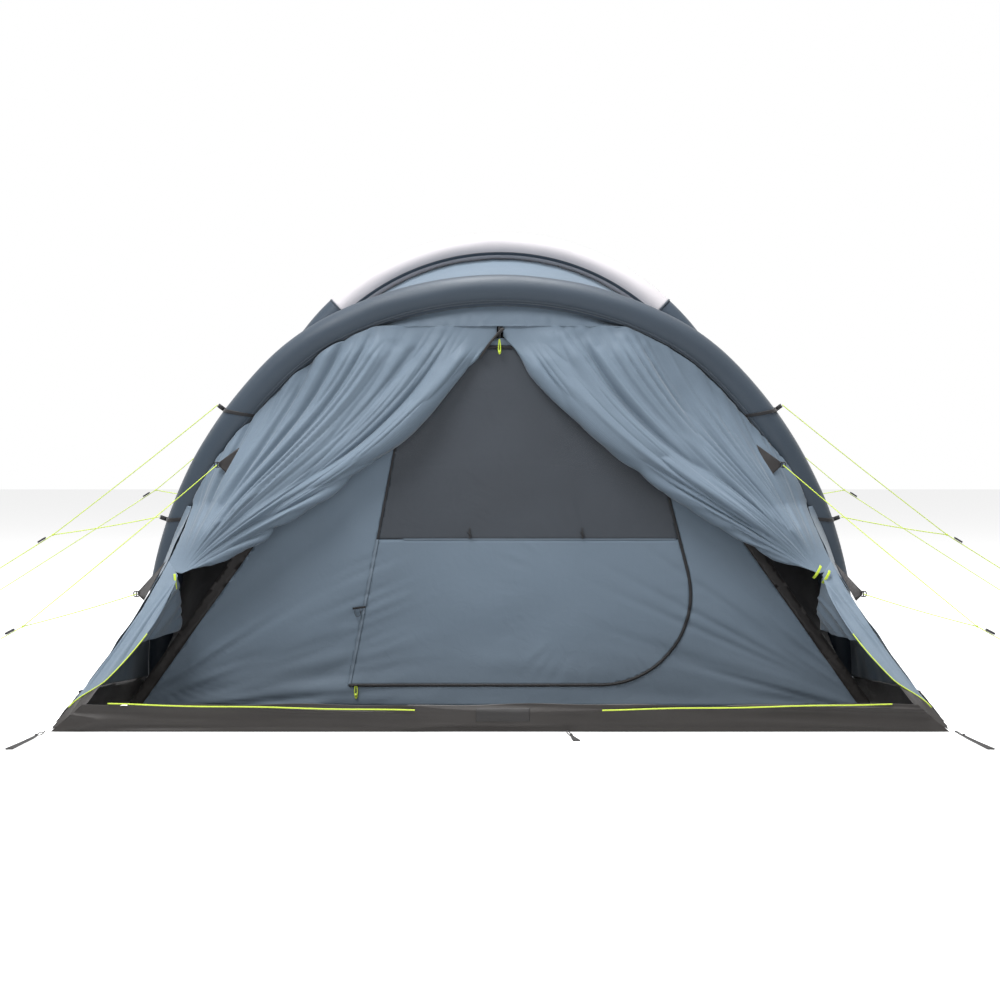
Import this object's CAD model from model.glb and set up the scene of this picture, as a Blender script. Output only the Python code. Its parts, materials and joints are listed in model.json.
"""Looks of an inflatable tunnel tent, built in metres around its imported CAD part.

The ground is z = 0 and the front faces -Y. Every sheet of cloth is made in three steps: a surface
through rows of points, a relief of folds, and a thickness. "Right" is the +X side.
"""
import json

import bpy
import numpy as np
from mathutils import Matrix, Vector
from mathutils.geometry import delaunay_2d_cdt


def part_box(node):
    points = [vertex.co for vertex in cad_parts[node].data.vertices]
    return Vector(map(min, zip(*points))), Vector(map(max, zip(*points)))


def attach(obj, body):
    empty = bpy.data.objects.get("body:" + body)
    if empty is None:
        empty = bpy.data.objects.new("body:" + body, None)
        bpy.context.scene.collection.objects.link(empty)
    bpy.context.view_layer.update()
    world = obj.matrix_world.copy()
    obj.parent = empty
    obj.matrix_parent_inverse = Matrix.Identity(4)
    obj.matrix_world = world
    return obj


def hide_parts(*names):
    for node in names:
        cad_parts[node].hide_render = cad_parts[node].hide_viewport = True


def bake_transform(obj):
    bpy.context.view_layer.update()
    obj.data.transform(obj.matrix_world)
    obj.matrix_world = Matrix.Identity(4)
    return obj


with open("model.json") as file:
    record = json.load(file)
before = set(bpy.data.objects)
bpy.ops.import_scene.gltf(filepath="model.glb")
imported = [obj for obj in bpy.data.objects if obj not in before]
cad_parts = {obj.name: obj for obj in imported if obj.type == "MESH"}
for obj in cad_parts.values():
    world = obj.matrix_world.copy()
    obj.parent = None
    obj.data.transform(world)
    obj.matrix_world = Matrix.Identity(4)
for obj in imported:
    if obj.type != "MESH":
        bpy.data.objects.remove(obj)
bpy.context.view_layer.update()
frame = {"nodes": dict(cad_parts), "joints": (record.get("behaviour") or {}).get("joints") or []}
JOINTS = {joint["name"]: joint for joint in frame["joints"]}

CLOTH = 0.0012  # thickness of the fly's fabric
SIDES = (("right", 1), ("left", -1))


def low(node):
    return np.array(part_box(node)[0])


def high(node):
    return np.array(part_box(node)[1])


def middle(node):
    return (low(node) + high(node)) / 2


# ---- Curves ----

def vec(x, y, z):
    return np.array([x, y, z], float)


def mix(a, b, t):
    return a + (b - a) * t


def along(a, b, count):
    """Points from a to b."""
    return mix(a, b, np.linspace(0, 1, count)[:, None])


def bow(a, pull, b, t):
    """A curve from a to b, pulled towards a third point."""
    t = np.asarray(t, float)[..., None]
    return mix(mix(a, pull, t), mix(pull, b, t), t)


def smooth(t):
    t = np.clip(t, 0, 1)
    return t * t * (3 - 2 * t)


def spread(line, count):
    """The same line through evenly spaced points."""
    steps = np.r_[0, np.cumsum(np.linalg.norm(np.diff(line, axis=0), axis=1))]
    return np.stack([np.interp(np.linspace(0, steps[-1], count), steps, axis) for axis in line.T], 1)


def mirrored(points, side):
    return points * np.array([side, 1, 1])


class Arch:
    """A beam's centre line: arcs of (radius, angle from the top where it ends), leaning forward."""

    def __init__(self, top, foot_y, lean, arcs, inset):
        self.top, self.foot_y, self.lean, self.arcs, self.inset = top, foot_y, lean, arcs, inset

    def centres(self):
        centre = np.array([0, self.top - self.arcs[0][0]])
        found = [centre]
        for (radius, end), (after, _) in zip(self.arcs, self.arcs[1:]):
            turn = np.radians(end)
            centre = centre + (radius - after) * np.array([np.sin(turn), np.cos(turn)])
            found.append(centre)
        return found

    def at(self, angle, out=0.0, forward=0.0):
        """The point at an angle from the top, out from the line and forward of its plane."""
        angle, out, forward = np.broadcast_arrays(*[np.asarray(v, float) for v in (angle, out, forward)])
        turn = np.radians(np.abs(angle))
        x, z, begin = np.zeros_like(turn), np.zeros_like(turn), -1.0
        for (radius, end), centre in zip(self.arcs, self.centres()):
            here = np.abs(angle) > begin
            x = np.where(here, centre[0] + (radius + out) * np.sin(turn), x)
            z = np.where(here, centre[1] + (radius + out) * np.cos(turn), z)
            begin = end
        return self.stood(x * np.where(angle < 0, -1, 1), z, forward)

    def stood(self, x, height, forward=0.0):
        lean = np.radians(self.lean)
        return np.stack([x + 0 * height, self.foot_y - height * np.sin(lean) - forward * np.cos(lean),
                         height * np.cos(lean) - forward * np.sin(lean)], -1)

    def around(self, angle, turn, radius):
        """A point beside the line: turn 0 is the beam's underside, 90 its front."""
        turn = np.radians(turn)
        return self.at(angle, -radius * np.cos(turn), radius * np.sin(turn))

    def foot_angle(self, out, height):
        up = height / np.cos(np.radians(self.lean)) - self.centres()[-1][1]
        return np.degrees(np.arccos(up / (self.arcs[-1][0] + out)))


# ---- Sizes, from the frame ----

FRONT_Y = middle("sill_piping")[1]
REAR_Y = -FRONT_Y
PIPING_R = (high("sill_piping") - low("sill_piping"))[1] / 2
BAND = low("sill_piping")[2] - 0.001  # height of the brown band
HALF_WIDTH = high("front_sill")[0] + 0.012
BEAM_R = (high("main_beam_top") - low("main_beam_top"))[1] / 2
GAP = 0.002
STAND_OFF = BEAM_R + 0.006

FRONT_LEAN = 6
FRONT_TOP = (high("front_beam_sleeve")[2] - BEAM_R) / np.cos(np.radians(FRONT_LEAN))
FRONT = Arch(FRONT_TOP, FRONT_Y + 0.98, FRONT_LEAN, [(1.432, 27), (0.897, 44), (1.617, 100)], BEAM_R + 0.004)
MAIN = Arch(high("main_beam_top")[2] - BEAM_R, middle("main_beam_top")[1], 0,
            [(1.112, 50), (2.430, 95)], BEAM_R + 0.004)
REAR = Arch(0.95, REAR_Y, 12, [(2.600, 16), (0.260, 78), (3.000, 95)], 0)
BEAM_END = 0.012  # height of a beam's lowest centre point

SEAM_Z = low("brow")[2] - GAP  # the straight seam under the front beam
BROW_ANGLE = 22
SEAM_ANGLE = 20.6  # where the seam meets the beam's underside
TUCK_ANGLE = 44  # the panel goes furthest under the beam here
RIDGE_ANGLE = 66


def tuck(angle):
    """How far round the beam the front panel's edge is tucked."""
    down = smooth((angle - SEAM_ANGLE) / (TUCK_ANGLE - SEAM_ANGLE))
    up = smooth((angle - TUCK_ANGLE) / (RIDGE_ANGLE - TUCK_ANGLE))
    return 45 - 20 * down + 55 * up


def tucked(angle):
    return FRONT.around(angle, tuck(angle), STAND_OFF)


SEAM_Y = float(FRONT.around(BROW_ANGLE, 60, STAND_OFF)[1])
SEAM_END = tucked(SEAM_ANGLE)
CORNER = vec(HALF_WIDTH, FRONT_Y + 0.014, 0.006)
TIE = vec(high("door_ties")[0] + 0.003, low("door_ties")[1] + 0.009, high("door_ties")[2] + 0.008)
APEX = vec(0.012, SEAM_Y, SEAM_Z - 0.036)
FOLD_AXIS = JOINTS["flap_right_swing"]
FOLD_LENGTH = 1.481
FOLD_MIDDLE = np.array(FOLD_AXIS["pos_m"], float)
FOLD_HALF = np.array(FOLD_AXIS["axis"], float) * FOLD_LENGTH / 2
FOLD_START, FOLD_END = FOLD_MIDDLE + FOLD_HALF, FOLD_MIDDLE - FOLD_HALF
FREE_PULL = vec(0.64, FRONT_Y + 0.63, 0.79)
WING_END = CORNER + vec(-0.016, 0.004, 0.008)


def ridge(t):
    """Where the front panel turns into the porch's side: 0 at the beam, 1 at the ground."""
    return bow(tucked(RIDGE_ANGLE), CORNER + vec(-0.32, 0.458, 0.422), CORNER, t)


def free_edge(t):
    return bow(APEX, FREE_PULL, TIE + vec(-0.014, 0, 0.008), t)


def wing_edge(t):
    return bow(TIE, CORNER + vec(-0.340, 0.306, 0.280), WING_END, t)


# ---- Reliefs: heights of folds over points of a sheet ----

def noise(points, size, seed):
    """Smooth noise between -1 and 1, in lumps of this size."""
    cells = 32
    lattice = np.random.default_rng(seed).uniform(-1, 1, (cells, cells, cells))
    place = points / np.asarray(size, float)
    corner = np.floor(place).astype(int)
    part = smooth(place - corner)
    total = 0
    for step in np.ndindex(2, 2, 2):
        weight = np.prod(np.where(step, part, 1 - part), axis=1)
        total = total + weight * lattice[tuple(((corner + step) % cells).T)]
    return total


def crumple(points, size, height, seed):
    """Uneven cloth: lumps, with finer ones on them."""
    return height * (noise(points, size, seed) + 0.45 * noise(points, size * 0.45, seed + 1))


def creased(wave, softness=0.03):
    """Turns a smooth wave into rounded folds that meet in narrow valleys."""
    return 2 * (wave ** 2 + softness ** 2) ** 0.25 - 1


def fan(points, centre, folds, height, reach, seed, start=0.12):
    """Long folds that run out from a centre, as seen from the front."""
    across, up = points[:, 0] - centre[0], points[:, 2] - centre[2]
    distance = np.hypot(across, up)
    angle = np.arctan2(up, across)
    wave = noise(np.stack([angle * folds, distance / 1.2, 0 * angle], 1), 1, seed)
    return height * creased(wave, 0.12) * smooth(distance / start) * (1 - smooth(distance / reach))


def gathers(points, distance, width, pitch, height, seed):
    """Small puckers beside a seam, dying away with the distance from it."""
    wave = noise(points, (pitch, pitch * 6, pitch), seed)
    return height * wave * np.exp(-np.abs(distance) / width)


# ---- Shapes: (points, faces, cloth coordinates in metres) ----

def grid(rows, wrap=False):
    """A sheet through rows of points. A wrapped one closes on itself along each row."""
    rows = np.asarray(rows, float)
    count, width = rows.shape[:2]
    index = np.arange(count * width).reshape(count, width)
    if wrap:
        index = np.concatenate([index, index[:, :1]], 1)
    quads = np.stack([index[:-1, :-1], index[:-1, 1:], index[1:, 1:], index[1:, :-1]], -1)
    centre_row, centre_column = rows[count // 2], rows[:, width // 2]
    u = np.r_[0, np.cumsum(np.linalg.norm(np.diff(centre_row, axis=0), axis=1))]
    v = np.r_[0, np.cumsum(np.linalg.norm(np.diff(centre_column, axis=0), axis=1))]
    uv = np.stack(np.meshgrid(u, v), -1).reshape(-1, 2)
    return rows.reshape(-1, 3), quads.reshape(-1, 4).tolist(), uv


def inside(points, polygon):
    x, y = points.T
    result = np.zeros(len(points), bool)
    for (x0, y0), (x1, y1) in zip(polygon, np.roll(polygon, -1, 0)):
        if y0 != y1:
            result ^= ((y0 > y) != (y1 > y)) & (x < x0 + (y - y0) * (x1 - x0) / (y1 - y0))
    return result


def in_cloth(points, outline, holes):
    keep = inside(points, np.asarray(outline, float))
    for hole in holes:
        keep &= ~inside(points, np.asarray(hole, float))
    return keep


def cut(outline, spacing, place, holes=()):
    """A piece cut from flat cloth, then placed point by point by a function of (x, y)."""
    border, edges = [], []
    for ring in [outline, *holes]:
        ring = np.asarray(ring, float)
        closed = np.concatenate([ring, ring[:1]])
        fine = np.concatenate([along(a, b, max(2, round(np.linalg.norm(b - a) / spacing) + 1))[:-1]
                               for a, b in zip(closed, closed[1:])])
        first = len(border)
        border.extend(fine)
        edges.extend((first + i, first + (i + 1) % len(fine)) for i in range(len(fine)))
    border = np.array(border)
    lowest, highest = border.min(0), border.max(0)
    lattice = np.stack(np.meshgrid(np.arange(lowest[0], highest[0], spacing),
                                   np.arange(lowest[1], highest[1], spacing)), -1).reshape(-1, 2)
    lattice = lattice[in_cloth(lattice, outline, holes)]
    nearest = np.full(len(lattice), np.inf)
    for point in border:
        nearest = np.minimum(nearest, ((lattice - point) ** 2).sum(1))
    flat = np.concatenate([border, lattice[nearest > (0.55 * spacing) ** 2]])
    found = delaunay_2d_cdt([Vector(p) for p in flat], edges, [], 0, 1e-6)
    flat = np.array([tuple(p) for p in found[0]])
    triangles = np.array(found[2])
    triangles = triangles[in_cloth(flat[triangles].mean(1), outline, holes)]
    used, renumbered = np.unique(triangles, return_inverse=True)
    flat = flat[used]
    return place(flat[:, 0], flat[:, 1]), renumbered.reshape(-1, 3).tolist(), flat


def normals(points, faces):
    total = np.zeros_like(points)
    for sides in (3, 4):
        chosen = np.array([f for f in faces if len(f) == sides])
        if len(chosen):
            corner = points[chosen]
            normal = np.cross(corner[:, 2] - corner[:, 0], corner[:, -1] - corner[:, 1])
            for column in chosen.T:
                np.add.at(total, column, normal)
    return total / np.maximum(np.linalg.norm(total, axis=1), 1e-12)[:, None]


def raised(shape, *reliefs):
    """The shape with the heights of each relief added along its normals."""
    points, faces, uv = shape
    height = sum(relief(points) for relief in reliefs)
    return points + normals(points, faces) * height[:, None], faces, uv


def thick(shape, thickness=CLOTH):
    """A closed piece: the sheet, its back, and the edge between them."""
    points, faces, uv = shape
    count = len(points)
    back = points - normals(points, faces) * thickness
    sides = {}
    for face in faces:
        for a, b in zip(face, face[1:] + face[:1]):
            sides[(a, b)] = True
    rim = [[b, a, a + count, b + count] for a, b in sides if (b, a) not in sides]
    backs = [[i + count for i in reversed(face)] for face in faces]
    return np.concatenate([points, back]), faces + backs + rim, np.concatenate([uv, uv])


def sheet(rows, *reliefs, thickness=CLOTH):
    """A closed piece of cloth through rows of points, with reliefs on it."""
    return thick(raised(grid(rows), *reliefs), thickness)


def capped(rings):
    """A closed tube through rings of points."""
    points, faces, uv = grid(rings, wrap=True)
    rings = np.asarray(rings, float)
    count, width = rings.shape[:2]
    ends = np.stack([rings[0].mean(0), rings[-1].mean(0)])
    first, last = len(points), len(points) + 1
    for i in range(width):
        after = (i + 1) % width
        faces.append([after, i, first])
        faces.append([(count - 1) * width + i, (count - 1) * width + after, last])
    return np.concatenate([points, ends]), faces, np.concatenate([uv, uv[:1], uv[-1:]])


def frames(line):
    """Two directions across a line at each of its points, without twist."""
    ahead = np.gradient(line, axis=0)
    ahead /= np.linalg.norm(ahead, axis=1)[:, None]
    side = np.cross(ahead[0], [0, 0, 1] if abs(ahead[0][2]) < 0.9 else [1, 0, 0])
    sides = []
    for direction in ahead:
        side = side - direction * (side @ direction)
        side /= np.linalg.norm(side)
        sides.append(side)
    sides = np.array(sides)
    return sides, np.cross(ahead, sides)


def tube(line, radius, sides=10, relief=None, flat=1.0):
    """A tube along a line. Its radius may change, its section may be flattened or ribbed."""
    line = np.asarray(line, float)
    across, up = frames(line)
    turn = np.linspace(0, 2 * np.pi, sides, endpoint=False)
    radius = np.broadcast_to(radius, len(line))[:, None] * np.ones(sides)
    if relief:
        steps = np.r_[0, np.cumsum(np.linalg.norm(np.diff(line, axis=0), axis=1))]
        radius = radius + relief(turn[None, :], steps[:, None])
    rings = (line[:, None] + across[:, None] * (radius * np.cos(turn))[..., None]
             + up[:, None] * (radius * flat * np.sin(turn))[..., None])
    return capped(rings)


def ball(centre, radius, sides=12):
    """A small rounded knot, slightly lumpy."""
    polar = np.linspace(0.05, np.pi - 0.05, sides)
    turn = np.linspace(0, 2 * np.pi, sides, endpoint=False)
    lump = 1 + 0.12 * np.sin(3 * turn[None, :] + 4 * polar[:, None])
    around = np.stack([np.sin(polar)[:, None] * np.cos(turn), np.sin(polar)[:, None] * np.sin(turn),
                       np.cos(polar)[:, None] + 0 * turn], -1)
    return capped(centre + radius * around * lump[..., None])


def ribbon(line, across, width, thickness=0.0015, relief=None):
    """A strip of webbing along a line; across is the direction of its width."""
    line = np.asarray(line, float)
    across = np.broadcast_to(across, line.shape)
    shape = grid([line + across * width * share for share in (-0.5, -0.25, 0, 0.25, 0.5)])
    return thick(raised(shape, relief) if relief else shape, thickness)


def circle(centre, radius, count=24, start=0, end=360):
    turn = np.radians(np.linspace(start, end, count, endpoint=abs(end - start) < 360))
    return np.stack([centre[0] + radius * np.cos(turn), centre[1] + radius * np.sin(turn)], 1)


def piece(name, body, material, *shapes, replaces=()):
    """Makes one object of some shapes, riding on a CAD body in place of these CAD nodes."""
    points, faces, uvs = [], [], []
    first = 0
    for shape_points, shape_faces, shape_uv in shapes:
        points.append(shape_points)
        faces.extend([i + first for i in face] for face in shape_faces)
        uvs.append(shape_uv)
        first += len(shape_points)
    points, uvs = np.concatenate(points), np.concatenate(uvs)
    mesh = bpy.data.meshes.new(name)
    mesh.from_pydata(points.tolist(), [], faces)
    corners = np.zeros(len(mesh.loops), np.int32)
    mesh.loops.foreach_get("vertex_index", corners)
    mesh.uv_layers.new(name="cloth").data.foreach_set("uv", uvs[corners].astype(np.float32).ravel())
    mesh.polygons.foreach_set("use_smooth", np.ones(len(mesh.polygons), bool))
    mesh.materials.append(material)
    made = bpy.data.objects.new(name, mesh)
    bpy.context.scene.collection.objects.link(made)
    if body:
        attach(made, body)
    if replaces:
        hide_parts(*replaces)
    return made


# ---- Materials ----

def add(tree, kind, inputs=None, **settings):
    """Adds a shader node; an input may be a value or another node's output."""
    made = tree.nodes.new("ShaderNode" + kind)
    for key, value in settings.items():
        setattr(made, key, value)
    for key, value in (inputs or {}).items():
        if isinstance(value, bpy.types.NodeSocket):
            tree.links.new(value, made.inputs[key])
        else:
            made.inputs[key].default_value = value
    return made


def started(name, slot):
    material = bpy.data.materials.new(name)
    material.use_nodes = True
    material["slot"] = slot
    tree = material.node_tree
    tree.nodes.clear()
    return material, tree, add(tree, "TexCoord")


def ended(tree, shader):
    add(tree, "OutputMaterial", {"Surface": shader.outputs[0]})


def output(tree, kind, inputs, **settings):
    """Adds a node and gives its first output."""
    return add(tree, kind, inputs, **settings).outputs[0]


def calc(tree, operation, *values):
    return output(tree, "Math", dict(enumerate(values)), operation=operation)


def patches(tree, place, scale, detail, distortion=0.0):
    return output(tree, "TexNoise", {"Vector": place, "Scale": scale, "Detail": detail,
                                     "Distortion": distortion})


def bump(tree, height, strength, distance, over=None):
    """A normal from heights, on top of another normal if there is one."""
    inputs = {"Height": height, "Strength": strength, "Distance": distance}
    return output(tree, "Bump", {**inputs, "Normal": over} if over else inputs)


def between(tree, value, least, most):
    return output(tree, "MapRange", {"Value": value, "To Min": least, "To Max": most})


def blended(tree, share, first, second, **settings):
    return output(tree, "MixRGB", {"Fac": share, "Color1": first, "Color2": second}, **settings)


def varied(tree, coordinate, colour, size, amount):
    """The colour, a little lighter and darker in patches."""
    darker = (*[c * (1 - amount) for c in colour], 1)
    lighter = (*[min(1, c * (1 + amount)) for c in colour], 1)
    return blended(tree, patches(tree, coordinate, 1 / size, 5.0), darker, lighter)


def weave(tree, uv, pitch):
    """Threads over and under, as a height between 0 and 1."""
    threads = [add(tree, "TexWave", {"Vector": uv, "Scale": 0.16 / pitch, "Distortion": 0.3},
                   bands_direction=way).outputs["Fac"] for way in ("X", "Y")]
    return calc(tree, "MULTIPLY", *threads)


DUST = (0.30, 0.27, 0.23, 1)
DUST_HEIGHT, DUST_SHARE = 0.3, 0.05


def fabric(name, slot, colour, rough=0.6, amount=0.12, pitch=0.0011, through=0.1, crease=0.0025):
    """Woven cloth: patchy colour, dust near the ground, fine creases, threads, some light through."""
    material, tree, where = started(name, slot)
    place, uv = where.outputs["Object"], where.outputs["UV"]
    height = add(tree, "SeparateXYZ", {0: place}).outputs["Z"]
    dust = output(tree, "MapRange", {"Value": height, "From Min": 0.0, "From Max": DUST_HEIGHT,
                                     "To Min": DUST_SHARE, "To Max": 0.0})
    dusty = blended(tree, dust, varied(tree, place, colour, 0.45, amount), DUST)
    threads = weave(tree, uv, pitch)
    shaded = blended(tree, 0.12, dusty, threads, blend_type="OVERLAY")
    coarse = bump(tree, patches(tree, place, 16.0, 6.0, 1.4), 0.5, crease)
    fine = bump(tree, threads, 0.35, 0.0003, coarse)
    roughness = between(tree, patches(tree, place, 7.0, 4.0), rough - 0.1, rough + 0.12)
    cover = output(tree, "BsdfPrincipled", {
        "Base Color": shaded, "Roughness": roughness, "Normal": fine,
        "Sheen Weight": 0.2, "Sheen Roughness": 0.45, "Specular IOR Level": 0.35})
    glow = output(tree, "BsdfTranslucent", {"Color": shaded, "Normal": fine})
    ended(tree, add(tree, "MixShader", {0: through, 1: cover, 2: glow}))
    return material


def netting(name, slot, colour, pitch=0.0018):
    """Fly mesh: woven threads with small holes between them."""
    material, tree, where = started(name, slot)
    place, uv = where.outputs["Object"], where.outputs["UV"]
    holes = calc(tree, "GREATER_THAN", weave(tree, uv, pitch), 0.62)
    cover = output(tree, "BsdfPrincipled", {
        "Base Color": varied(tree, place, colour, 0.25, 0.15), "Roughness": 0.55,
        "Normal": bump(tree, patches(tree, place, 9.0, 5.0, 1.0), 0.6, 0.004), "Sheen Weight": 0.3})
    clear = output(tree, "BsdfTransparent", {})
    ended(tree, add(tree, "MixShader", {0: calc(tree, "MULTIPLY", holes, 0.3), 1: cover, 2: clear}))
    return material


def hard(name, slot, colour, rough=0.4, grain=0.0002, size=0.002, clear=0.0):
    """Moulded plastic or fibreglass: fine grain, scuffs, a little uneven in tone."""
    material, tree, where = started(name, slot)
    place = where.outputs["Object"]
    scuffs = patches(tree, place, 60.0, 8.0, 2.0)
    ended(tree, add(tree, "BsdfPrincipled", {
        "Base Color": varied(tree, place, colour, 0.03, 0.2),
        "Roughness": between(tree, scuffs, rough - 0.12, rough + 0.2),
        "Normal": bump(tree, patches(tree, place, 1 / size, 3.0), 0.4, grain), "Coat Weight": clear}))
    return material


def stitched(name, slot, colour, thread, width, pitch=0.006):
    """A sewn tape: cloth with a row of stitches near each edge, its width along the second coordinate."""
    material, tree, where = started(name, slot)
    place, uv = where.outputs["Object"], where.outputs["UV"]
    parts = add(tree, "SeparateXYZ", {0: uv})
    off = calc(tree, "ABSOLUTE", calc(tree, "SUBTRACT", parts.outputs["Y"], width / 2))
    line = calc(tree, "COMPARE", off, width * 0.33, width * 0.05)
    dash = calc(tree, "LESS_THAN", calc(tree, "MODULO", parts.outputs["X"], pitch), pitch * 0.6)
    stitch = calc(tree, "MULTIPLY", line, dash)
    coloured = blended(tree, stitch, varied(tree, place, colour, 0.2, 0.12), (*thread, 1))
    fine = bump(tree, weave(tree, uv, 0.0012), 0.4, 0.0003)
    ended(tree, add(tree, "BsdfPrincipled", {
        "Base Color": coloured, "Roughness": 0.6, "Normal": bump(tree, stitch, 0.6, 0.0006, fine),
        "Sheen Weight": 0.2}))
    return material


def shade(colour, factor):
    return [c * factor for c in colour]


SLATE = (0.138, 0.186, 0.240)
SLEEVE = (0.034, 0.050, 0.071)
BROWN = (0.0155, 0.0135, 0.0137)
DARK = (0.012, 0.012, 0.014)
LIME = (0.58, 0.72, 0.06)

FLY = fabric("slate_fly_cloth", "slate_fly", SLATE)
FLAP = fabric("slate_flap_cloth", "slate_fly", shade(SLATE, 1.08), through=0.12)
WALL = fabric("slate_wall_cloth", "slate_fly", shade(SLATE, 1.02), rough=0.66, through=0.05)
NAVY = fabric("navy_sleeve_cloth", "navy_sleeve", SLEEVE, rough=0.5, through=0.0, crease=0.0015)
PALE = fabric("pale_sleeve_cloth", "pale_sleeve", (0.52, 0.50, 0.52), rough=0.6, amount=0.04, through=0.0,
              crease=0.0015)
BASE = fabric("brown_base_cloth", "brown_base", BROWN, rough=0.5, amount=0.25, through=0.0)
SHADE = fabric("dark_gusset_cloth", "brown_base", DARK, rough=0.8, through=0.0)
MESH = netting("dark_window_mesh", "dark_mesh", (0.024, 0.032, 0.044))
WEBBING = fabric("black_webbing", "black_webbing", DARK, rough=0.6, pitch=0.002, through=0.0,
                 crease=0.0008)
BLADDER = hard("bladder_film", "bladder", (0.62, 0.63, 0.62), rough=0.3, clear=0.3)
PLASTIC = hard("black_moulded_plastic", "black_plastic", DARK)
FIBREGLASS = hard("grey_fibreglass", "strut_fibreglass", (0.42, 0.42, 0.40), rough=0.35, clear=0.4)
CORD = fabric("lime_cord_braid", "lime_cord", LIME, rough=0.5, amount=0.08, pitch=0.0009, through=0.1,
              crease=0.0004)
TRIM = fabric("lime_trim_cloth", "lime_trim", LIME, rough=0.5, amount=0.08, through=0.1, crease=0.0004)
ZIP = fabric("black_zip_tape", "black_zip", (0.018, 0.019, 0.022), rough=0.6, pitch=0.0009, through=0.0,
             crease=0.0005)
SEAM_WIDTH = 0.016
FLY_SEAM = stitched("slate_seam_tape", "slate_fly", shade(SLATE, 0.82), shade(SLATE, 0.5), SEAM_WIDTH)
NAVY_SEAM = stitched("navy_seam_tape", "navy_sleeve", shade(SLEEVE, 0.7), shade(SLEEVE, 1.8), SEAM_WIDTH)
BROWN_SEAM = stitched("brown_seam_tape", "brown_base", shade(BROWN, 0.8), shade(BROWN, 2.2), SEAM_WIDTH)


def repaint(material, *nodes):
    """Gives CAD nodes that stay in view a finish."""
    for name in nodes:
        node = frame["nodes"][name]
        node.data.materials.clear()
        node.data.materials.append(material)


# ---- Air beams ----

SEAM_TURNS = (52, 308)  # where a sleeve's two seams run, round the beam from its underside
MEAN_BEND = 1.6  # rough radius of both arches


def beam_rings(arch, first, last, radius, step=0.014):
    """Rings round a beam, with puckers inside its bends, seam ridges and rounded feet."""
    length = np.radians(last - first) * MEAN_BEND
    angles = np.linspace(first, last, round(length / step))
    turns = np.linspace(0, 360, 72, endpoint=False)
    line = arch.at(angles)
    steps = np.r_[0, np.cumsum(np.linalg.norm(np.diff(line, axis=0), axis=1))]
    to_foot = np.maximum(line[:, 2], 0) / 0.06
    taper = np.sqrt(np.clip(1 - np.maximum(1 - to_foot, 0) ** 2, 0.05, 1))
    shape = np.stack(np.broadcast_arrays(steps[:, None], turns[None, :] / 60, 0), -1)
    flat = shape.reshape(-1, 3)
    underside = np.exp(-((np.minimum(turns, 360 - turns)) / 55) ** 2)
    puckers = noise(flat, (0.022, 1.3, 1), 5).reshape(len(angles), -1) * underside * 0.0016
    waves = noise(flat, (0.16, 0.7, 1), 6).reshape(len(angles), -1) * 0.0012
    ridges = sum(0.0014 * np.exp(-((turns - at) / 3.5) ** 2) for at in SEAM_TURNS)
    size = (radius + puckers + waves + ridges) * taper[:, None]
    return arch.around(angles[:, None], turns[None, :], size)


def beam_end(arch):
    return arch.foot_angle(0, BEAM_END)


PALE_TOP = 43  # the main beam's pale top reaches this far down each side, in degrees
piece("front_sleeve_cloth", "tent", NAVY,
      capped(beam_rings(FRONT, -beam_end(FRONT), beam_end(FRONT), BEAM_R)),
      replaces=["front_beam_sleeve"])
piece("main_sleeve_pale_cloth", "tent", PALE,
      capped(beam_rings(MAIN, -PALE_TOP, PALE_TOP, BEAM_R)), replaces=["main_beam_top"])
for word, side in SIDES:
    ends = sorted([side * PALE_TOP, side * beam_end(MAIN)])
    piece(f"main_sleeve_{word}_cloth", "tent", NAVY, capped(beam_rings(MAIN, *ends, BEAM_R)),
          replaces=[f"main_beam_sleeve_{word}"])
for word, arch in (("front", FRONT), ("main", MAIN)):
    end = beam_end(arch) - 1
    piece(f"{word}_bladder_film", "tent", BLADDER,
          capped(beam_rings(arch, -end, end, BEAM_R - 0.006, step=0.04)),
          replaces=[f"{word}_beam_bladder"])


def beam_seam(arch, turn, limit):
    """A sewn tape along a beam, where the fly's edge meets the sleeve."""
    angles = np.linspace(-limit, limit, 300)
    half = np.degrees(SEAM_WIDTH / 2 / BEAM_R)
    return thick(grid([arch.around(angles, turn + offset * half, BEAM_R + 0.0024)
                       for offset in (-1, -0.5, 0, 0.5, 1)]), 0.0008)


for word, arch in (("front", FRONT), ("main", MAIN)):
    piece(f"{word}_sleeve_seams", "tent", NAVY_SEAM, *[beam_seam(arch, turn, 84) for turn in SEAM_TURNS])

# Rings of tape where the pale top is sewn to the sleeves
piece("main_sleeve_joins", "tent", NAVY_SEAM, *[
    thick(grid([MAIN.around(side * (PALE_TOP + shift), np.linspace(0, 360, 73), BEAM_R + 0.0022)
                for shift in (-0.2, 0, 0.2)]), 0.001) for side in (1, -1)])

STRAP_WIDTH = 0.014
STRAP_SKEW = 1.2  # degrees by which a strap is pulled down on its outer side
FRONT_STRAPS, MAIN_STRAPS = (52, 69), (62, 71)
STRAP_REACH = 0.02975  # a strap's loop stands this far out of the sleeve


def beam_strap(arch, angle, side):
    """A webbing strap round a beam with a folded loop for the guy."""
    half = np.degrees(STRAP_WIDTH / 2 / 1.5)
    turns = np.linspace(0, 360, 49)
    skew = -STRAP_SKEW * np.cos(np.radians(turns))
    rows = [arch.around(side * (angle + skew + offset * half), turns, BEAM_R + 0.0028)
            for offset in (-1, -0.5, 0, 0.5, 1)]
    heights = BEAM_R + np.array([0.001, 0.012, 0.022, STRAP_REACH, 0.022, 0.012, 0.001])
    forward = np.array([-0.001, -0.004, -0.004, 0, 0.004, 0.004, 0.001])
    tip = side * (angle + STRAP_SKEW)
    loop = [arch.at(tip + side * offset * half, heights, forward) for offset in (-1, 0, 1)]
    return [thick(grid(rows), 0.0014), thick(grid(loop), 0.0012)]


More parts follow.
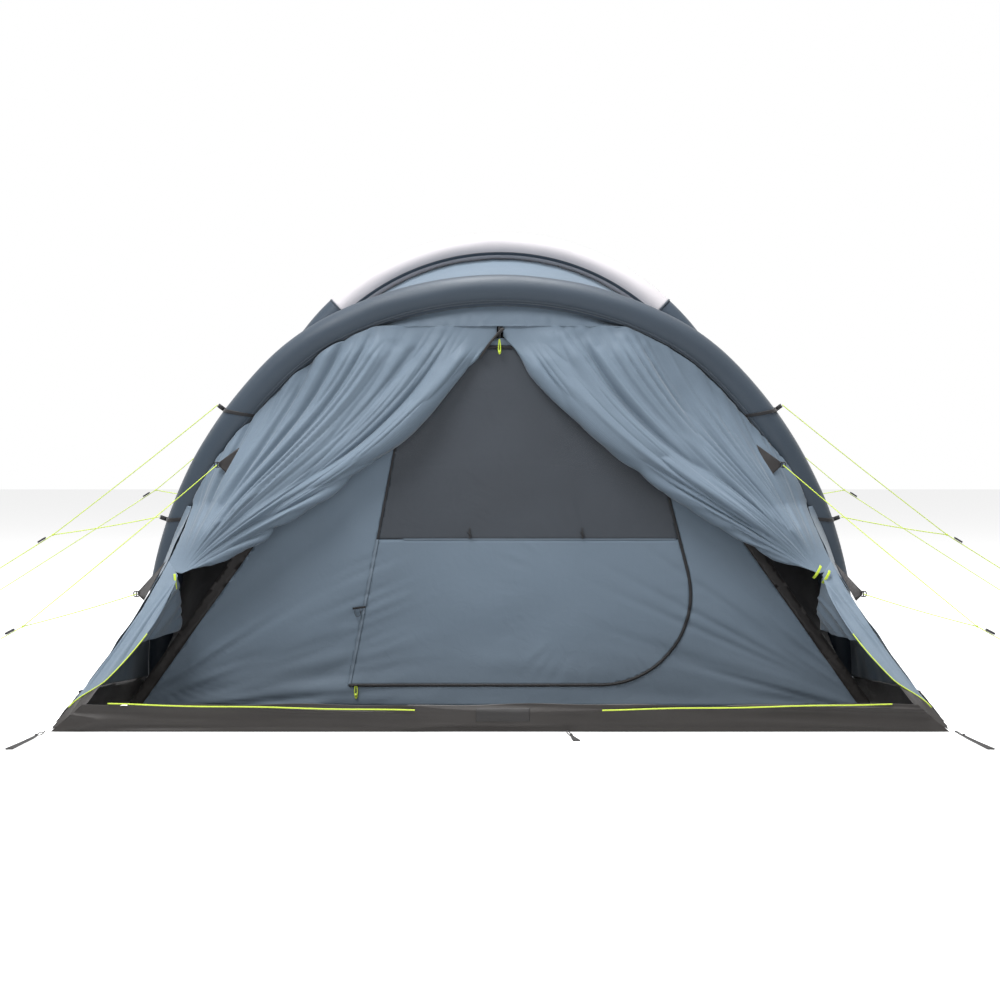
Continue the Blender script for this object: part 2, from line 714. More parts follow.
STRAPS = [(FRONT, a) for a in FRONT_STRAPS] + [(MAIN, a) for a in MAIN_STRAPS]
piece("beam_strap_webbing", "tent", WEBBING,
      *[shape for arch, angle in STRAPS for _, side in SIDES for shape in beam_strap(arch, angle, side)],
      replaces=["beam_straps"])
repaint(PLASTIC, "valve_bodies", "valve_cap_front", "valve_cap_main")

# ---- Fly over the living space ----

ROOF_SHARE = 0.45
SPAN_SAG = 0.025
FLY_LIFT = 0.010  # the fly's edge is pulled up against the beam


def rib(arch, share, out):
    foot = arch.foot_angle(out - arch.inset, BAND + GAP)
    return arch.at(share * foot, out - arch.inset)


def span(a, b, shares, parts):
    """Points of the fly between two arches, dipping a little between them and sewn to both."""
    t, share = np.meshgrid(parts, shares)
    from_beam = t if b is REAR else np.minimum(t, 1 - t)
    dip = SPAN_SAG * 4 * t * (1 - t) - FLY_LIFT * np.exp(-(from_beam / 0.02) ** 2)
    return mix(rib(a, share, -dip), rib(b, share, -dip), t[..., None])


def fly_relief(a, b, seed):
    """Gathers beside both beams, soft lumps, and long pulls from beam to beam."""
    begin, end = a.foot_y, b.foot_y

    def relief(points):
        part = (points[:, 1] - begin) / (end - begin)
        inner = np.clip(4 * part * (1 - part), 0, 1)
        nearest = np.minimum(np.abs(points[:, 1] - begin), np.abs(end - points[:, 1]))
        pulls = noise(points, (0.16, 1.3, 0.16), seed) * 0.006 * inner
        slant = noise(points @ np.array([[1, 0.6, 0], [0, 1, 0], [0, 0.6, 1]]), (0.11, 0.8, 0.11), seed + 3)
        edge = gathers(points, nearest, 0.09, 0.03, 0.003, seed + 1)
        low_part = 1 - smooth(points[:, 2] / 0.7)
        hem = creased(noise(points, (9, 0.09, 0.5), seed + 2)) * 0.006 * low_part * inner
        return pulls + 0.003 * slant * inner + edge + hem + crumple(points, 0.3, 0.0025, seed + 4) * inner
    return relief


def fly(name, a, b, seed, columns, replaces):
    shares = np.linspace(-1, 1, 300)
    relief = fly_relief(a, b, seed)
    piece(name, "tent", FLY, sheet(span(a, b, shares, np.linspace(0, 1, columns)), relief),
          replaces=replaces)
    seams = []
    for at in (-ROOF_SHARE, ROOF_SHARE):
        near = at + np.array([-1, -0.5, 0, 0.5, 1]) * 0.0032
        rows = span(a, b, near, np.linspace(0.002, 0.998, columns))
        seams.append(sheet(rows, relief, lambda points: 0.0012 + 0 * points[:, 0], thickness=0.001))
    piece(name + "_seams", "tent", FLY_SEAM, *seams)


fly("fly_front_bay", FRONT, MAIN, 11, 90, ["bay_roof", "bay_side_right", "bay_side_left"])
fly("fly_rear_bay", MAIN, REAR, 21, 120, ["rear_roof", "rear_side_right", "rear_side_left"])


# ---- Groundsheet and the brown base bands ----

def fly_foot(arch, height):
    return arch.at(arch.foot_angle(-arch.inset, height), -arch.inset)


def porch_side_foot(height):
    p = FRONT.around(FRONT.foot_angle(0, height), 138, BEAM_R + 0.008)
    return vec(p[0], p[1], height)


def porch_edge(t):
    return ridge(t) + vec(0, 0.009, 0)


def band_relief(points):
    return creased(noise(points, (0.6, 0.6, 0.022), 31)) * 0.003 + crumple(points, 0.12, 0.0015, 32)


def side_strip(top, foot, rows=9):
    """A strip of the band between its top and foot lines."""
    return raised(grid([mix(top, foot, t) for t in np.linspace(0, 1, rows)]), band_relief)


FLOOR = 0.004
BAND_CLOTH = 0.0015
BAND_SHARE = 0.86  # where the band's top edge meets the ridge
bands, band_seams = [], []
for _, side in SIDES:
    top, foot = [spread(np.array([fly_foot(a, z) for a in (FRONT, MAIN, REAR)]), 260)
                 for z in (BAND + 0.001, FLOOR)]
    porch_top = along(porch_edge(BAND_SHARE), porch_side_foot(BAND), 60)
    porch_low = along(porch_edge(0.97), porch_side_foot(FLOOR), 60)
    for upper, lower in ((top, foot), (porch_top, porch_low)):
        bands.append(thick(side_strip(mirrored(upper, side), mirrored(lower, side)), BAND_CLOTH))
        out = vec(side * BAND_CLOTH, 0, 0)
        band_seams.append(ribbon(mirrored(upper, side) + out, vec(0, 0, 1), SEAM_WIDTH * 0.7, 0.001,
                                 band_relief))
REAR_INSET = 0.002
rear_half = float(REAR.at(REAR.foot_angle(-REAR_INSET, BAND), -REAR_INSET)[0])


def in_rear_wall(x, height, behind=0.0):
    return REAR.stood(x, height, -behind)


rear_x = np.linspace(-rear_half, rear_half, 200)
rear_lean = np.cos(np.radians(REAR.lean))
rear_rows = [in_rear_wall(rear_x * (1 + 0.012 * (1 - z / BAND)), z / rear_lean + 0 * rear_x)
             for z in np.linspace(BAND + 0.006, FLOOR, 9)]
bands.append(sheet(rear_rows, band_relief, thickness=BAND_CLOTH))
piece("base_band_cloth", "tent", BASE, *bands, replaces=["base_band"])
piece("base_band_seams", "tent", BROWN_SEAM, *band_seams)

FLOOR_INSET = 0.001
floor_half = [(HALF_WIDTH - 0.02, FRONT_Y + 0.012), (porch_side_foot(FLOOR)[0] - 0.02, FRONT.foot_y),
              (fly_foot(MAIN, 0)[0] - FLOOR_INSET, MAIN.foot_y),
              (fly_foot(REAR, 0)[0] - FLOOR_INSET, REAR_Y - FLOOR_INSET)]
floor_line = floor_half + [(-x, y) for x, y in reversed(floor_half)]
piece("groundsheet_cloth", "tent", BASE, thick(raised(
    cut(floor_line, 0.04, lambda x, y: np.stack([x, y, 0 * x + 0.0024], 1)),
    lambda points: crumple(points, 0.15, 0.0006, 33)), 0.0012), replaces=["groundsheet"])

# ---- Front sill ----

SILL_LOW, SILL_TOP = HALF_WIDTH - 0.012, 1.475
PIPING_END = 1.385
sill_x = np.linspace(-1, 1, 420)


def sill_line(height):
    half = mix(SILL_LOW, SILL_TOP, height / BAND)
    wave = 0.0025 * np.sin(sill_x * 9) + 0.002 * np.sin(sill_x * 23)
    return np.stack([sill_x * half, FRONT_Y + 0.002 * np.cos(sill_x * 7),
                     0.002 + height * (0.98 + wave / BAND)], 1)


def sill_relief(points):
    """Long soft creases along the sill, fading out at its foot."""
    lift = smooth(points[:, 2] / 0.02)
    slanted = points @ np.array([[1, 0, 0.03], [0, 1, 0], [0, 0, 1]])
    long_folds = creased(noise(slanted, (0.6, 1, 0.034), 41)) * 0.012
    return (long_folds + noise(points, (0.22, 1, 0.016), 42) * 0.003) * lift


piece("front_sill_cloth", "tent", BASE,
      sheet([sill_line(z) for z in np.linspace(BAND, 0, 26)], sill_relief, thickness=BAND_CLOTH),
      replaces=["front_sill"])

# The lime piping shows at both ends and runs down over the sill's turned edge
PIPED = 0.36
PIPING_DROP = 0.020
piping = []
for side in (1, -1):
    x = side * np.linspace(PIPED if side > 0 else 0.3, PIPING_END, 160)
    inward = (PIPING_END - np.abs(x)) / (PIPING_END - PIPED)
    height = BAND + PIPING_R - PIPING_DROP * inward + 0.0012 * np.sin(x * 13)
    piping.append(tube(np.stack([x, FRONT_Y - 0.014 * smooth(inward / 0.2), height], 1), PIPING_R, 8))
piece("sill_piping_cord", "tent", TRIM, *piping, replaces=["sill_piping"])

patch_low, patch_high = low("sill_patch"), high("sill_patch")
piece("sill_patch_cloth", "tent", WEBBING, thick(raised(
    grid([along(vec(patch_low[0], patch_low[1], z), vec(patch_high[0], patch_low[1], z), 40)
          for z in np.linspace(patch_high[2], patch_low[2], 10)]),
    sill_relief, lambda points: 0.004 + crumple(points, 0.05, 0.0012, 43)), 0.0015), replaces=["sill_patch"])


# ---- Porch: brow, front panels with their tied-back flaps, wings and sides ----

def brow():
    """The strip between the front beam and the straight seam, gathered at the seam."""
    shares = np.linspace(-0.98, 0.98, 200)
    top = FRONT.around(SEAM_ANGLE * shares, 15, BEAM_R - 0.003)
    seam = np.stack([SEAM_END[0] * shares, mix(SEAM_Y, SEAM_END[1], shares ** 2) - 0.002,
                     mix(SEAM_Z, SEAM_END[2], shares ** 4) - 0.003], 1)
    rows = grid([mix(top, seam, t) for t in np.linspace(0, 1, 20)])
    return raised(rows, lambda p: gathers(p, p[:, 2] - SEAM_Z, 0.05, 0.022, 0.0035, 51)
                  + crumple(p, 0.2, 0.002, 52))


piece("brow_cloth", "tent", FLY, thick(brow()), replaces=["brow"])


def panel_border():
    """A front panel's outer edge, from the apex along the seam and down the beam to the tie's level."""
    shares = np.linspace(0.012 / SEAM_END[0], 0.98, 40)
    seam = np.stack([SEAM_END[0] * shares, mix(SEAM_Y, SEAM_END[1], shares ** 2) + 0.004,
                     mix(SEAM_Z, SEAM_END[2], shares ** 4)], 1)
    beam = tucked(np.linspace(SEAM_ANGLE + 0.5, RIDGE_ANGLE, 80))
    down = ridge(np.linspace(0.02, 0.34, 30)) + vec(-0.006, 0, 0)
    return np.concatenate([seam, beam, down])


ROLL_R = 0.020  # the free edge rolls under on this radius


def panel_rows(count, width):
    """Rows of points from the border, over the fold line, to the flap's rolled free edge."""
    border = spread(panel_border(), count)
    fold = along(FOLD_START, FOLD_END, count)
    free = spread(free_edge(np.linspace(0, 1, 200)), count)
    at_fold = 0.58
    part = np.linspace(0, 1, count)[:, None]
    inner = smooth(part / 0.12) * smooth((1 - part) / 0.12)
    fold = mix(mix(border, free, at_fold), fold, inner)
    rows = []
    for t in np.linspace(0, 1, width):
        quadratic = (border * (t - at_fold) * (t - 1) / at_fold
                     + fold * t * (t - 1) / (at_fold * (at_fold - 1))
                     + free * t * (t - at_fold) / (1 - at_fold))
        straight = mix(border, fold, t / at_fold) if t < at_fold else \
            mix(fold, free, (t - at_fold) / (1 - at_fold))
        rows.append(mix(straight, quadratic, 0.5))
    outward = free - fold
    outward /= np.linalg.norm(outward, axis=1)[:, None]
    roll = ROLL_R * (0.25 + 0.75 * smooth(part / 0.5) * smooth((1 - part) / 0.1))
    for turn in np.radians(np.linspace(12, 200, 16)):
        rows.append(free + roll * (np.sin(turn) * outward + (1 - np.cos(turn)) * vec(0, 1, 0)))
    return np.array(rows).transpose(1, 0, 2)


def pleats(side, seed):
    """Deep folds that run from the tie up to the seam, flatter towards the beam."""
    def relief(points):
        x = points[:, 0] * side
        across, up = TIE[0] + 0.01 - x, points[:, 2] - (TIE[2] - 0.02)
        distance = np.hypot(across, up)
        angle = np.arctan2(up, across)
        bend = angle + 0.10 * np.sin(distance * 2.2)
        deep = 1 - smooth((angle - np.radians(46)) / np.radians(40))
        seam = smooth((SEAM_Z - points[:, 2]) / 0.14)
        beam_side = smooth((1.50 - x - 0.35 * (1 - points[:, 2])) / 0.35)
        start = smooth(distance / 0.45)
        coarse = creased(noise(np.stack([bend * 13, distance * 0.9, 0 * x], 1), 1, seed))
        finer = creased(noise(np.stack([bend * 31, distance * 2.0, 0 * x], 1), 1, seed + 1))
        size = start * (0.25 + 0.75 * seam) * (0.34 + 0.66 * deep) * (0.4 + 0.6 * beam_side)
        sewn = gathers(points, SEAM_Z - points[:, 2], 0.10, 0.035, 0.007, seed + 2)
        bundle = 1 + 0.7 * (1 - smooth((angle - np.radians(31)) / np.radians(10)))
        thin = creased(noise(np.stack([bend * 62, distance * 3.0, 0 * x], 1), 1, seed + 5))
        folds = size * bundle * (0.012 + 0.020 * coarse + 0.010 * finer + 0.0025 * thin)
        from_apex = np.hypot(x - APEX[0], points[:, 2] - APEX[2])
        apex = smooth((from_apex - 0.05) / 0.15)  # leaves room for the pull
        deepest = -0.06 * smooth((SEAM_Z - points[:, 2] - 0.20) / 0.35)  # clear of the wall behind
        return apex * np.maximum(folds + sewn + crumple(points, 0.25, 0.003, seed + 3), deepest)
    return relief


FOLD = np.array(FOLD_AXIS["axis"], float)
INWARD = np.cross(FOLD, np.cross(free_edge(0.5) - FOLD_MIDDLE, FOLD))
INWARD /= np.linalg.norm(INWARD)


def turn_with_flap(made, word):
    """The piece stays with the tent at the fold line and swings with the flap beyond it."""
    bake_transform(made)


for word, side in SIDES:
    relief = pleats(side, 61 if side > 0 else 71)
    rows = mirrored(panel_rows(260, 130), side)[::side]  # folds stand outward on both sides
    flap = piece(f"front_panel_{word}_cloth", None, FLAP, sheet(rows, relief),
                 replaces=[f"front_panel_{word}", f"door_flap_{word}"])
    turn_with_flap(flap, word)


def wing_point(t, share):
    """A point of the wing below the tie: t from the tie down, share 0 at the ridge, 1 at its edge."""
    t, share = np.broadcast_arrays(np.asarray(t, float), np.asarray(share, float))
    return mix(ridge(mix(0.3, 0.985, t)) + vec(-0.006, 0, 0), wing_edge(t), share[..., None])


def wing_relief(side, seed):
    """Folds that fall from the tie and flatten towards the corner."""
    def relief(points):
        drop = TIE[2] - points[:, 2]
        across = points[:, 0] * side - TIE[0] - drop * 0.6
        wave = creased(noise(np.stack([across / 0.022, drop * 3, 0 * drop], 1), 1, seed))
        return wave * 0.008 * smooth(drop / 0.08) * (1 - smooth((drop - 0.25) / 0.25)) \
            + crumple(points, 0.09, 0.002, seed + 1)
    return relief


PIPING_TOP, HEM_TOP, HEM_FULL = 0.42, 0.70, 0.90  # the hem starts and has the wing's whole width here


def porch_side_relief(points):
    """Soft lumps that die away where the cloth meets the beam."""
    inner = np.repeat(smooth((1 - np.linspace(0, 1, 70)) / 0.15), 90)
    return inner * (crumple(points, 0.14, 0.005, 91) + noise(points, (0.3, 0.05, 0.5), 92) * 0.004)


def hem_share(t):
    """How far across the wing the slate cloth reaches before the brown hem."""
    return 1 - smooth((t - HEM_TOP) / (HEM_FULL - HEM_TOP)) ** 1.3


for word, side in SIDES:
    relief = wing_relief(side, 81 if side > 0 else 84)
    upper = np.linspace(0, HEM_FULL, 110)
    slate_rows = [wing_point(upper, share * hem_share(upper)) for share in np.linspace(0, 1, 34)]
    lower = np.linspace(HEM_TOP, 1, 90)
    reach = 1 + 0.9 * smooth((lower - 0.74) / 0.2)  # covers the sill's end
    brown_rows = [wing_point(lower, mix(hem_share(lower), reach, share)) + vec(0, -0.001, 0)
                  for share in np.linspace(0, 1, 30)]
    piece(f"wing_{word}_cloth", "tent", FLAP,
          sheet(mirrored(np.array(slate_rows), side), relief))
    piece(f"wing_{word}_hem", "tent", BASE,
          sheet(mirrored(np.array(brown_rows), side), relief, thickness=0.0016))
    piped = upper[upper > PIPING_TOP]
    line = wing_point(piped, hem_share(piped))
    piece(f"wing_{word}_piping", "tent", TRIM,
          tube(mirrored(line + vec(0, -0.003, 0), side), PIPING_R * 0.9, 8))
    folded = np.linspace(0.02, PIPING_TOP + 0.06, 70)
    back = np.minimum(folded / folded[-1] / 0.74, (1 - folded / folded[-1]) / 0.26)
    fold_rows = [wing_edge(folded) + np.outer(back * t, [-0.055, 0.30, -0.05]) + vec(0.003, 0.004, 0)
                 for t in np.linspace(0, 1, 24)]
    piece(f"wing_{word}_fold", "tent", FLAP, sheet(mirrored(np.array(fold_rows), side), relief))
    sides_t = np.linspace(0, 1, 90)
    edge = porch_edge(mix(0.03, BAND_SHARE - 0.01, sides_t))
    foot_angle = FRONT.foot_angle(0, BAND + GAP)
    behind = FRONT.around(mix(RIDGE_ANGLE + 1, foot_angle, sides_t), mix(90, 136, sides_t), BEAM_R + 0.001)
    side_rows = [mirrored(mix(edge, behind, t), side) for t in np.linspace(0, 1, 70)]
    piece(f"porch_side_{word}_cloth", "tent", FLY, sheet(side_rows, porch_side_relief),
          replaces=[f"porch_side_{word}"])

# Lime ties: two bands across the gathered cloth on the right, one hanging end on the left
ties = []
for offset in (0.0, 0.034):
    turn = np.radians(np.linspace(-75, 75, 24))
    centre = TIE + vec(0.014 - offset, 0.006, -0.006 + offset * 0.55)
    band = centre + np.stack([0.014 * np.sin(turn), -0.024 * np.cos(turn), 0.024 * np.sin(turn)], 1)
    ties.append(ribbon(band, vec(0.8, 0, -0.6), 0.010, 0.0014))
t = np.linspace(0, 1, 20)
hanging = TIE + np.stack([0.010 - 0.006 * t, -0.012 - 0.006 * np.sin(t * 3), 0.006 - 0.058 * t], 1)
ties.append(ribbon(mirrored(hanging, -1), vec(1, 0, 0), 0.009, 0.0014))
piece("door_tie_bands", "tent", TRIM, *ties, replaces=["door_ties"])


# ---- Front zip's head and its pull at the apex ----

head = middle("front_zip_head")
piece("front_zip_top", "tent", BASE,
      tube(along(head + vec(0, 0, 0.022), head - vec(0, 0, 0.018), 12), 0.007, 14, flat=0.6),
      replaces=["front_zip_head"])
roll_line = bow(vec(0.012, SEAM_Y - 0.012, SEAM_Z - 0.012), vec(-0.03, SEAM_Y - 0.03, SEAM_Z - 0.05),
                vec(-0.078, SEAM_Y - 0.016, SEAM_Z - 0.125), np.linspace(0, 1, 50))
roll_size = 0.009 * (1 - 0.45 * np.linspace(0, 1, 50))
zip_roll = piece("front_zip_roll", None, BASE,
                 tube(roll_line, roll_size, 18, lambda turn, s: 0.0012 * np.sin(3 * turn + s * 60), flat=0.7))
turn_with_flap(zip_roll, "left")
pull_top, pull_low = high("front_zip_pull"), low("front_zip_pull")
pull_x, pull_y, _ = middle("front_zip_pull")
turn = np.linspace(0, 2 * np.pi, 60)
loop_half = (pull_top[2] - pull_low[2]) / 2 - 0.004
pull_loop = np.stack([pull_x + 0.004 * np.sin(turn) * (1 - 0.4 * np.cos(turn)),
                      pull_y + 0.001 * np.sin(turn * 2),
                      (pull_top[2] + pull_low[2]) / 2 + loop_half * np.cos(turn)], 1)
piece("front_pull_loop", "front_pull", CORD, tube(pull_loop, 0.0022, 8),
      ball(vec(pull_x, pull_y, pull_low[2] + 0.012), 0.0062), replaces=["front_zip_pull"])

# ---- Inner front wall, its door and its gussets ----

WALL_LEAN = 4
WALL_FOOT_Y = FRONT_Y + 0.68
WALL_HALF = 1.390
WALL_TAPER = 0.70
WALL_LOW, WALL_TOP = 0.005, 1.436
WALL_GRID = 0.011  # spacing of the wall's points
EDGE_STRIP = 0.055
DOOR_LOW = 0.086
WINDOW_SILL = 0.65
HINGE_FOOT_X, HINGE_SLOPE = -0.600, 0.19
CORNER_R, CROWN_R, SIDE_TILT = 0.352, 0.620, 14
CORNER_CENTRE = np.array([0.388, DOOR_LOW + CORNER_R])
TILT = np.radians(SIDE_TILT)
CROWN_CENTRE = (CORNER_CENTRE + 0.420 * np.array([-np.sin(TILT), np.cos(TILT)])
                - (CROWN_R - CORNER_R) * np.array([np.cos(TILT), np.sin(TILT)]))
DOOR_TOP = CROWN_CENTRE[1] + CROWN_R


def in_wall(x, height, before=0.0):
    """A point of the front wall's plane, or before it towards the front."""
    lean = np.radians(WALL_LEAN)
    x, height, before = np.broadcast_arrays(*[np.asarray(v, float) for v in (x, height, before)])
    return np.stack([x, WALL_FOOT_Y + height * np.sin(lean) - before * np.cos(lean),
                     height * np.cos(lean) + before * np.sin(lean)], -1)


def hinge_x(height):
    return HINGE_FOOT_X + HINGE_SLOPE * height


def zip_line(grow=0.0):
    """The door's edge from the foot of its hinge round to the hinge's head, moved out by grow."""
    return np.concatenate([
        [[hinge_x(DOOR_LOW), DOOR_LOW - grow]],
        circle(CORNER_CENTRE, CORNER_R + grow, 22, -90, SIDE_TILT),
        circle(CROWN_CENTRE, CROWN_R + grow, 22, SIDE_TILT, 90),
        [[hinge_x(DOOR_TOP), DOOR_TOP + grow]]])


def wall_relief(points):
    """Pulls from the wall's corners, the hinge seam and the zip's rounded corner."""
    foot = 1 - smooth((points[:, 2] - 0.02) / 0.35)
    corners = sum(fan(points, vec(side * 1.50, 0, -0.03), 16, 0.017, 1.45, 101 + side, 0.5)
                  for side in (1, -1))
    from_zip = np.hypot(points[:, 0] - CORNER_CENTRE[0], points[:, 2] - CORNER_CENTRE[1]) - CORNER_R
    rounded = fan(points, vec(CORNER_CENTRE[0], 0, CORNER_CENTRE[1]), 15, 0.0035, 0.8, 106, 0.05)
    rounded = rounded * np.exp(-(from_zip / 0.06) ** 2)
    pulled = points @ np.array([[1, 0, -0.42], [0, 1, 0], [0.2, 0, 1]])
    beside = np.exp(-((points[:, 0] - hinge_x(points[:, 2])) / 0.16) ** 2)
    below = smooth((0.72 - points[:, 2]) / 0.3)
    hinge = creased(noise(pulled, (0.34, 9, 0.045), 105), 0.12) * 0.007 * beside * below
    sagging = noise(points @ np.array([[1, 0, 0.10], [0, 1, 0], [0, 0, 1]]), (0.9, 9, 0.06), 107)
    across = noise(pulled, (0.9, 9, 0.14), 108) * 0.005
    total = corners + rounded + hinge + sagging * 0.006 * foot + across + crumple(points, 0.4, 0.003, 109)
    return total * smooth((WALL_TOP - 0.1 - points[:, 2]) / 0.3)


def wall_outline():
    head = WALL_HALF - WALL_TAPER * WALL_TOP
    return [(-WALL_HALF, WALL_LOW), (WALL_HALF, WALL_LOW), (head, WALL_TOP), (-head, WALL_TOP)]


door_hole = np.concatenate([zip_line(0.004), [[hinge_x(DOOR_TOP) - 0.001, DOOR_TOP + 0.004],
                                              [hinge_x(DOOR_LOW) - 0.001, DOOR_LOW - 0.004]]])
piece("front_wall_cloth", "tent", WALL,
      thick(raised(cut(wall_outline(), WALL_GRID, in_wall, [door_hole]), wall_relief)),
      replaces=["front_wall"])


STRIP_TOP = WALL_TOP - 0.20  # the flaps hide the strips above this


def strip_outline(side):
    head = WALL_HALF - WALL_TAPER * STRIP_TOP
    inner = [(WALL_HALF + 0.001, WALL_LOW), (head + 0.001, STRIP_TOP)]
    outer = [(head + EDGE_STRIP, STRIP_TOP), (WALL_HALF + EDGE_STRIP, WALL_LOW)]
    return [(side * x, z) for x, z in inner + outer]


piece("wall_edge_strip_cloth", "tent", BASE, *[
    thick(raised(cut(strip_outline(side), 0.014, in_wall), wall_relief), 0.0016) for side in (1, -1)],
    replaces=["wall_edge_strips"])


def door_part(bottom, top):
    """The door's outline between two heights."""
    ring = spread(np.concatenate([zip_line(), zip_line()[:1]]), 400)
    kept = [p for p in ring if bottom < p[1] < top]
    right = [p for p in kept if p[0] > hinge_x(p[1]) + 0.01]
    ends = [q for q in (bottom, top) if DOOR_LOW < q < DOOR_TOP]
    lines = {}
    for z in ends:
        edge = [p for p in ring if abs(p[1] - z) < 0.006 and p[0] > hinge_x(z) + 0.3]
        lines[z] = np.array([np.mean([p[0] for p in edge]), z])
    first = [lines[bottom]] if bottom in lines else []
    last = [lines[top]] if top in lines else []
    hinge = [np.array([hinge_x(z), z]) for z in (min(top, DOOR_TOP), max(bottom, DOOR_LOW))]
    return np.array(first + right + last + hinge)


DOOR_BLEND = 0.10
for name, material, bottom, top, node in (
        ("door_panel_cloth", WALL, 0, WINDOW_SILL - 0.0005, "wall_door"),
        ("door_window_mesh", MESH, WINDOW_SILL + 0.0005, WALL_TOP + 1, "door_window")):
    flat = cut(door_part(bottom, top), WALL_GRID, in_wall)
    made = piece(name, None, material, thick(raised(flat, wall_relief)), replaces=[node])
    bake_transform(made)


def wall_line(flat, before):
    """A line over the wall's folded surface, just before it."""
    flat = np.asarray(flat, float)
    placed = in_wall(flat[:, 0], flat[:, 1], before)
    return placed + vec(0, -1, 0) * wall_relief(in_wall(flat[:, 0], flat[:, 1]))[:, None]


zip_path = spread(zip_line(), 420)
tape = [wall_line(spread(zip_line(grow), 420), 0.0035) for grow in (-0.006, -0.003, 0, 0.003, 0.006)]
coil = tube(wall_line(zip_path, 0.0055), 0.0026, 8,
            lambda turn, s: 0.0007 * np.sin(s / 0.0045 * 2 * np.pi))
piece("door_zip_tape", "tent", ZIP, thick(grid(tape), 0.0012), coil, replaces=["door_zip"])

# A dark seam down the hinge, and a tape along the bottom of the mesh window
hinge_line = [(hinge_x(z), z) for z in np.linspace(WINDOW_SILL, DOOR_TOP, 120)]
low_hinge = [(hinge_x(z), z) for z in np.linspace(DOOR_LOW, WINDOW_SILL, 90)]
piece("window_edge_seam", "tent", ZIP, ribbon(wall_line(hinge_line, 0.0028), vec(1, 0, 0), 0.008, 0.001))
piece("door_hinge_seam", "tent", FLY_SEAM, ribbon(wall_line(low_hinge, 0.0028), vec(1, 0, 0), 0.012, 0.001))
window_right = float(door_part(WINDOW_SILL, WALL_TOP + 1)[0][0])
sill_seam = [(x, WINDOW_SILL)
             for x in np.linspace(hinge_x(WINDOW_SILL) + DOOR_BLEND, window_right - 0.012, 160)]
piece("window_sill_seam", "door", FLY_SEAM, ribbon(wall_line(sill_seam, 0.0018), vec(0, 0, 1), 0.006, 0.001))

# Toggles that hold the rolled window cover, each with its loop
toggles = []
for toggle_x in (-0.118, 0.320):
    heights = np.linspace(WINDOW_SILL + 0.045, WINDOW_SILL + 0.002, 16)
    down = wall_line([(toggle_x, z) for z in heights], 0.008)
    toggles.append(ribbon(down, vec(1, 0, 0), 0.006, 0.0014))
    steps = np.linspace(-0.009, 0.009, 12)
    cross = wall_line([(toggle_x + step, WINDOW_SILL + 0.02 - step) for step in steps], 0.012)
    rounded = np.sqrt(np.clip(1 - np.linspace(-0.96, 0.96, 12) ** 4, 0.1, 1))
    toggles.append(tube(cross, 0.0034 * rounded, 10))
piece("window_toggle_set", "door", PLASTIC, *toggles, replaces=["window_toggles"])

tie_middle = middle("door_tie_back")
turn = np.linspace(0, 2 * np.pi, 40)
tie_loop = np.stack([tie_middle[0] + 0.012 * np.sin(turn), tie_middle[1] - 0.004 + 0.002 * np.cos(turn),
                     tie_middle[2] + 0.018 * np.cos(turn)], 1)
piece("door_tie_back_loop", "tent", WEBBING, ribbon(tie_loop, vec(0, 1, 0), 0.007, 0.0014),
      ribbon(along(vec(tie_middle[0] - 0.02, tie_middle[1] - 0.003, tie_middle[2] + 0.014),
                   vec(tie_middle[0] + 0.03, tie_middle[1] - 0.003, tie_middle[2] + 0.02), 12),
             vec(0, 0, 1), 0.008, 0.0014), replaces=["door_tie_back"])

slider_x, slider_top = middle("door_zip_slider")[0], high("door_zip_slider")[2] - 0.007
slider_y = low("door_zip_slider")[1] + 0.003
body_end = vec(0.012, 0, 0)
body_middle = vec(slider_x, slider_y, slider_top)
body_line = along(body_middle - body_end, body_middle + body_end, 14)
body_size = 0.0055 + 0.0015 * np.cos(np.linspace(-1.2, 1.2, 14) * 2)
turn = np.linspace(0, 2 * np.pi, 60)
cord_half = (slider_top - low("door_zip_slider")[2]) / 2 - 0.002
cord_loop = np.stack([slider_x + 0.005 * np.sin(turn), slider_y - 0.002 + 0 * turn,
                      slider_top - cord_half + cord_half * np.cos(turn)], 1)
piece("door_slider_body", "zip_slider", PLASTIC, tube(body_line, body_size, 14, flat=0.6),
      replaces=["door_zip_slider"])
piece("door_slider_cord", "zip_slider", CORD, tube(cord_loop, 0.0024, 8),
      ball(vec(slider_x, slider_y - 0.002, slider_top - cord_half * 1.5), 0.006))


def gusset_rows(side):
    """From the wall's slanted edge and head out to the inside of the front beam."""
    head = WALL_HALF + EDGE_STRIP - WALL_TAPER * WALL_TOP
    clear = -BEAM_R + 0.006
    heights = np.linspace(0.008, WALL_TOP, 90)
    edge = np.concatenate([in_wall(WALL_HALF + EDGE_STRIP - WALL_TAPER * heights, heights),
                           in_wall(np.linspace(head, 0.001, 30)[1:], WALL_TOP)])
    low_angle = FRONT.foot_angle(clear, 0.008)
    angles = np.concatenate([np.linspace(low_angle, 20, 90), np.linspace(20, 0.05, 30)[1:]])
    beam = FRONT.at(angles, clear)
    behind = np.outer(GAP + 0.03 * smooth((edge[:, 2] - 1.2) / 0.2), [0, 1, 0])
    return [mirrored(mix(edge + behind, beam, t), side) for t in np.linspace(0, 1, 40)]


for word, side in SIDES:
    rows = gusset_rows(side)
    loose = np.repeat(smooth(np.linspace(0, 1, len(rows)) / 0.2), len(rows[0]))
    piece(f"wall_gusset_{word}_cloth", "tent", SHADE,
          sheet(rows, lambda p: loose * crumple(p, 0.12, 0.004, 111)), replaces=[f"wall_gusset_{word}"])

# ---- Rear wall, its vent and the corner struts ----

vent_low, vent_high = low("rear_vent_mesh"), high("rear_vent_mesh")
VENT = [vent_low[0], vent_high[0], vent_low[2] / rear_lean, vent_high[2] / rear_lean]


